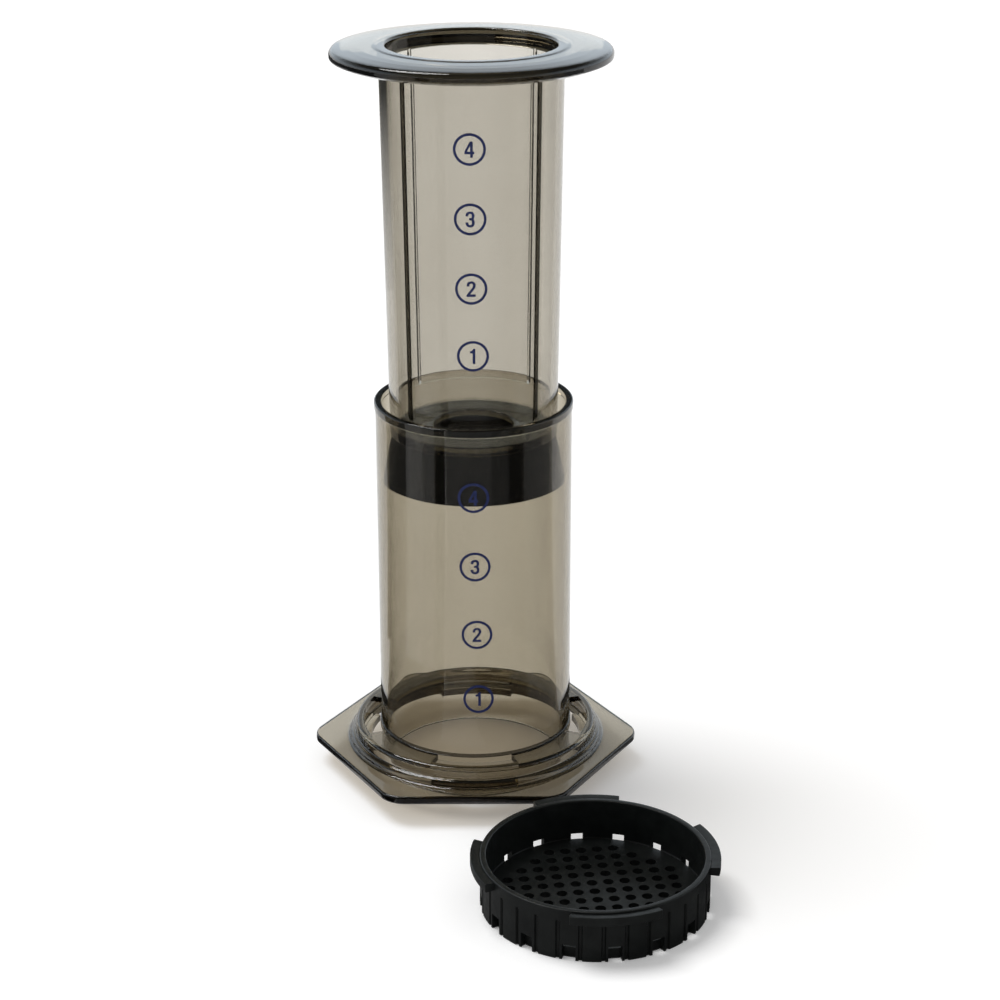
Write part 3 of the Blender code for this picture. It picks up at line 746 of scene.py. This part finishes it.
def seenShare(tree):
    # 1 for what is seen straight, mirrored or through clear plastic, and 0 for light on its way to matt things
    path = addNode(tree, "ShaderNodeLightPath").outputs
    seen = mathOf(tree, "MAXIMUM", path["Is Camera Ray"], path["Is Glossy Ray"])
    seen = mathOf(tree, "MAXIMUM", seen, path["Is Transmission Ray"])
    return mathOf(tree, "MULTIPLY", seen, mathOf(tree, "LESS_THAN", path["Diffuse Depth"], 0.5))


def looseObject(bm, name, material):
    mesh = bpy.data.meshes.new(name)
    bm.to_mesh(mesh)
    bm.free()
    mesh.materials.append(material)
    item = bpy.data.objects.new(name, mesh)
    scene.collection.objects.link(item)
    return item


def makeFloor():
    s = stageLook
    material, tree, shader = startMaterial("paleFloor")
    shader.inputs["Base Color"].default_value = (s["floorColour"], s["floorColour"], s["floorColour"], 1)
    shader.inputs["Roughness"].default_value = s["floorRough"]
    shader.inputs["Specular IOR Level"].default_value = 0.0
    shader.inputs["Emission Color"].default_value = (1, 1, 1, 1)
    tree.links.new(mathOf(tree, "MULTIPLY", seenShare(tree), s["floorGlow"]), shader.inputs["Emission Strength"])
    bm = bmesh.new()
    bmesh.ops.create_grid(bm, x_segments=1, y_segments=1, size=s["floorSize"])
    looseObject(bm, "floor", material)


def makeCard(ends, first, last, grey, farGrey=None):
    # a card that only mirrored rays meet, swept round the press from the two ends of one edge
    material, tree, shader = startMaterial("greyCard")
    shader.inputs["Base Color"].default_value = (grey, grey, grey, 1)
    shader.inputs["Roughness"].default_value = 1.0
    if farGrey is not None:
        where = addNode(tree, "ShaderNodeTexCoord").outputs["Object"]
        reach = addNode(tree, "ShaderNodeVectorMath", {0: where, 1: pressAxis}, operation="DISTANCE").outputs["Value"]
        tree.links.new(remap(tree, reach, grey, farGrey, ends[0][0], ends[1][0]), shader.inputs["Base Color"])
    mirrored = mathOf(tree, "GREATER_THAN", addNode(tree, "ShaderNodeLightPath").outputs["Glossy Depth"], 0.5)
    gone = addNode(tree, "ShaderNodeBsdfTransparent")
    mix = addNode(tree, "ShaderNodeMixShader", {0: mirrored, 1: gone.outputs[0], 2: shader.outputs[0]})
    tree.links.new(mix.outputs[0], tree.nodes["Material Output"].inputs["Surface"])
    bm = bmesh.new()
    turn = Matrix.Rotation(radians(first - 90), 4, "Z")
    verts = [bm.verts.new(turn @ Vector((reach, 0, height))) for reach, height in ends]
    bmesh.ops.spin(bm, geom=verts + [bm.edges.new(verts)], cent=(0, 0, 0), axis=(0, 0, 1),
                   angle=radians(last - first), steps=stageLook["cardSteps"], use_merge=False, use_duplicate=False)
    bmesh.ops.translate(bm, verts=bm.verts, vec=pressAxis)
    card = looseObject(bm, "greyCard", material)
    card.visible_camera = card.visible_diffuse = card.visible_shadow = False


def makeCards():
    # grey cards round the set draw the edges of the clear parts, as black flags do in a studio
    s = stageLook
    for first, last, near, far, *greys in s["floorCards"] + [s["fadeCard"]]:
        makeCard([(near, s["cardLift"]), (far, s["cardLift"])], first, last, *greys)
    for first, last, grey in s["lowCards"]:
        makeCard([(s["lowCardReach"], height) for height in s["lowCardHeights"]], first, last, grey)


def makeRoom():
    s = stageLook
    world = bpy.data.worlds.new("softRoom")
    scene.world = world
    world.use_nodes = True
    tree = world.node_tree
    way = addNode(tree, "ShaderNodeSeparateXYZ", {0: addNode(tree, "ShaderNodeTexCoord").outputs["Generated"]}).outputs
    front = remap(tree, mathOf(tree, "MULTIPLY", way["Y"], -1.0), 0, 1, *s["darkFrom"])
    sky = mixColours(tree, remap(tree, way["Z"], 0, 1, *s["skyFall"]), s["lowSky"], s["highSky"])
    above = mixColours(tree, front, sky, s["darkRoom"])
    around = mixColours(tree, remap(tree, way["Z"], 0, 1, *s["skyFrom"]), (1, 1, 1), above)
    path = addNode(tree, "ShaderNodeLightPath").outputs
    seen = mixColours(tree, path["Is Camera Ray"], around, (1, 1, 1))
    colour = mixColours(tree, seenShare(tree), (s["room"],) * 3, seen)
    tree.links.new(colour, tree.nodes["Background"].inputs["Color"])
    sun = bpy.data.lights.new("softKey", "SUN")
    sun.energy, sun.angle = s["sun"], radians(s["sunSoft"])
    key = bpy.data.objects.new("softKey", sun)
    key.rotation_mode = "QUATERNION"
    key.rotation_quaternion = Vector(s["sunFrom"]).to_track_quat("Z", "Y")
    scene.collection.objects.link(key)


viewSizes = {
    "place": (-0.002008, -0.706735, 0.384443),  # m
    "tip": 68.92713, "roll": -0.1146,  # degrees up from straight down, and round the line of sight
    "lens": 87.072, "sensor": 36.0,  # mm
    "clip": (0.01, 100.0),  # nearest and farthest that it sees, in m
}


def makeCamera():
    s = viewSizes
    lens = bpy.data.cameras.new("photoView")
    lens.lens, lens.sensor_width = s["lens"], s["sensor"]
    lens.clip_start, lens.clip_end = s["clip"]
    camera = bpy.data.objects.new("photoView", lens)
    camera.matrix_world = (Matrix.Translation(s["place"]) @ Matrix.Rotation(radians(s["tip"]), 4, "X")
                           @ Matrix.Rotation(radians(s["roll"]), 4, "Z"))
    scene.collection.objects.link(camera)
    scene.camera = camera


makeFloor()
makeCards()
makeRoom()
makeCamera()
scene.view_settings.view_transform = "Standard"
print("stage ready")
